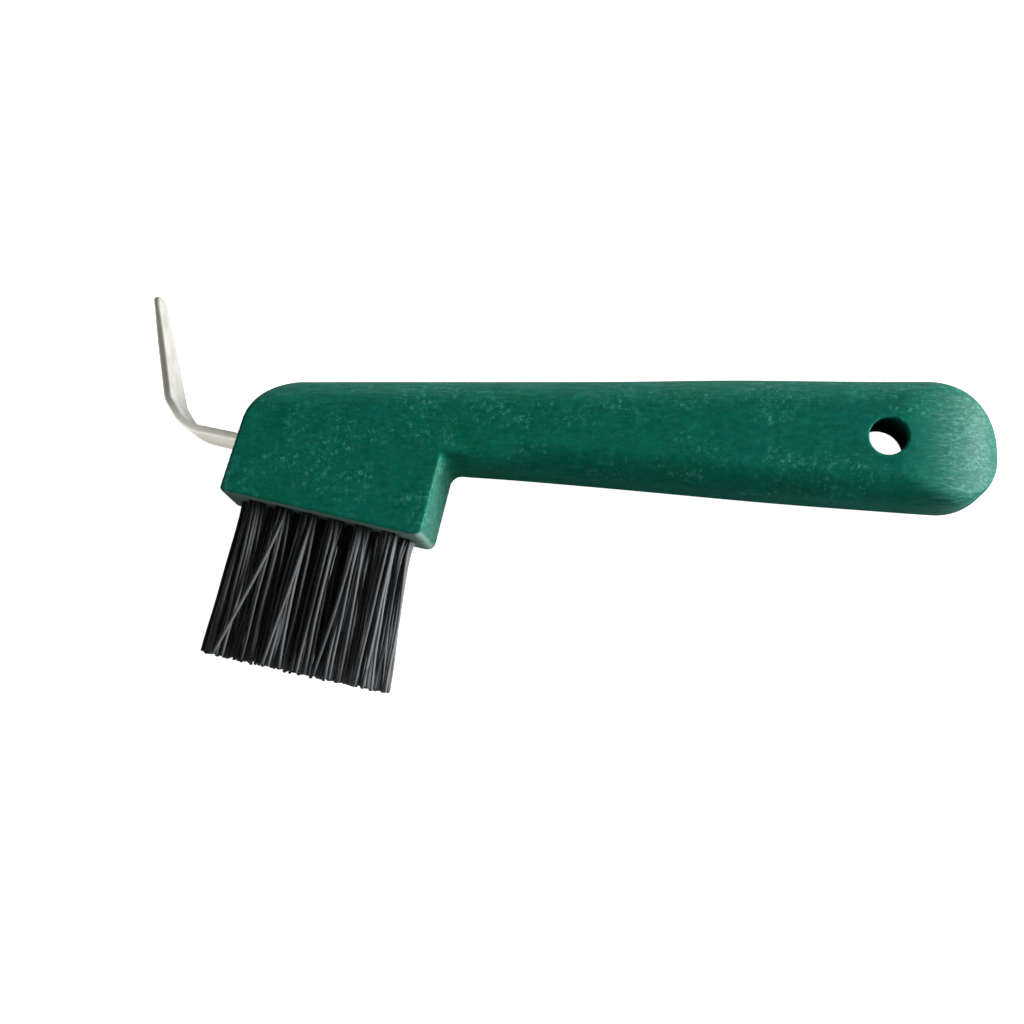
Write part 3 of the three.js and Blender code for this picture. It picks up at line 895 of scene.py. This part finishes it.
WALL_LIGHT, FAR_WALL_LIGHT, CEILING_LIGHT = 0.38, 1.2, 0.04
WALL_TOP, CEILING_START = 0.12, 0.62        # sines of the heights where one ends, the other starts
KEY_POWER = 41.0
CARD_POWER = 10.0
BACKDROP = 1.0         # how bright walls and table look to the camera

CAMERA_SPOT, CAMERA_TARGET = (45.97, -64.7, 333.3), (12.99, -7.02, 0)    # in the plan
CAMERA_ROLL, CAMERA_LENS, CAMERA_SENSOR = 1.4, 55.97, 36.0


def make_camera():
    location, target = Vector(in_frame(CAMERA_SPOT)), Vector(in_frame(CAMERA_TARGET))
    roll = math.radians(CAMERA_ROLL)
    forward = (target - location).normalized()
    level = forward.cross(Vector((0, 1, 0))).normalized()
    right = Matrix.Rotation(-roll, 3, forward) @ level
    up = right.cross(forward)
    turn = Matrix((right, up, -forward)).transposed().to_4x4()
    data = bpy.data.cameras.new("camera")
    data.sensor_width, data.lens = CAMERA_SENSOR, CAMERA_LENS
    camera = bpy.data.objects.new("camera", data)
    camera.matrix_world = Matrix.Translation(location) @ turn
    scene.collection.objects.link(camera)
    scene.camera = camera


def make_floor():
    """A white table. It glows for the camera, so that it carries no shadows."""
    mesh = bpy.data.meshes.new("studio_floor")
    reach = 6.0
    corners = [(-reach, -reach, 0), (reach, -reach, 0), (reach, reach, 0), (-reach, reach, 0)]
    mesh.from_pydata(corners, [], [(0, 1, 2, 3)])
    floor = add_object("studio_floor", mesh)
    paint = Shader("floor_paint")
    tint = paint.mix(paint.noise(0.02, 3), (0.73, 0.73, 0.73, 1), (0.76, 0.76, 0.76, 1))
    seen = paint.add("LightPath").outputs["Is Camera Ray"]
    glow = paint.times(seen, BACKDROP)
    mesh.materials.append(paint.finish(Base_Color=tint, Roughness=0.9, Emission_Color=(1, 1, 1, 1),
                                       Emission_Strength=glow))


def area_light(name, location, target, size, power, color=(1, 1, 1)):
    data = bpy.data.lights.new(name, "AREA")
    data.shape, data.size, data.size_y = "RECTANGLE", *size
    data.energy, data.color = power, color
    lamp = bpy.data.objects.new(name, data)
    turn = (Vector(target) - Vector(location)).to_track_quat("-Z", "Y")
    lamp.matrix_world = Matrix.Translation(location) @ turn.to_matrix().to_4x4()
    scene.collection.objects.link(lamp)
    return lamp


def make_world():
    """Pale walls, brightest on the far side, and a dark ceiling. The camera sees plain white."""
    world = bpy.data.worlds.new("studio")
    scene.world = world
    studio = Nodes(world)
    way = studio.add("SeparateXYZ", Vector=studio.add("TexCoord").outputs["Generated"]).outputs
    walls = studio.between(way[1], 0.2, 0.9, WALL_LIGHT, FAR_WALL_LIGHT)
    light = studio.blend(studio.between(way[2], WALL_TOP, CEILING_START), walls, CEILING_LIGHT)
    seen = studio.add("LightPath").outputs["Is Camera Ray"]
    sky = studio.tree.nodes["Background"].inputs
    studio.put(sky["Strength"], studio.blend(seen, light, BACKDROP))
    studio.put(sky["Color"], (1, 1, 1, 1))


def make_lights():
    """A low softbox at the right, and a card that throws light on the steel only."""
    area_light("right_softbox", (1.43, 0.20, 0.44), (0, 0, 0), (0.9, 0.5), KEY_POWER)
    card = area_light("steel_card", (-0.36, -0.34, 0.38), (-0.08, 0.02, 0.01), (0.4, 0.4),
                      CARD_POWER)
    card.visible_glossy = False
    steel = bpy.data.collections.new("lit_by_card")
    steel.objects.link(bpy.data.objects["steel_hook"])
    card.light_linking.receiver_collection = steel
    scene.view_settings.view_transform = "Standard"


make_camera()
make_floor()
make_world()
make_handle()
make_hook()
make_brush()
make_lights()
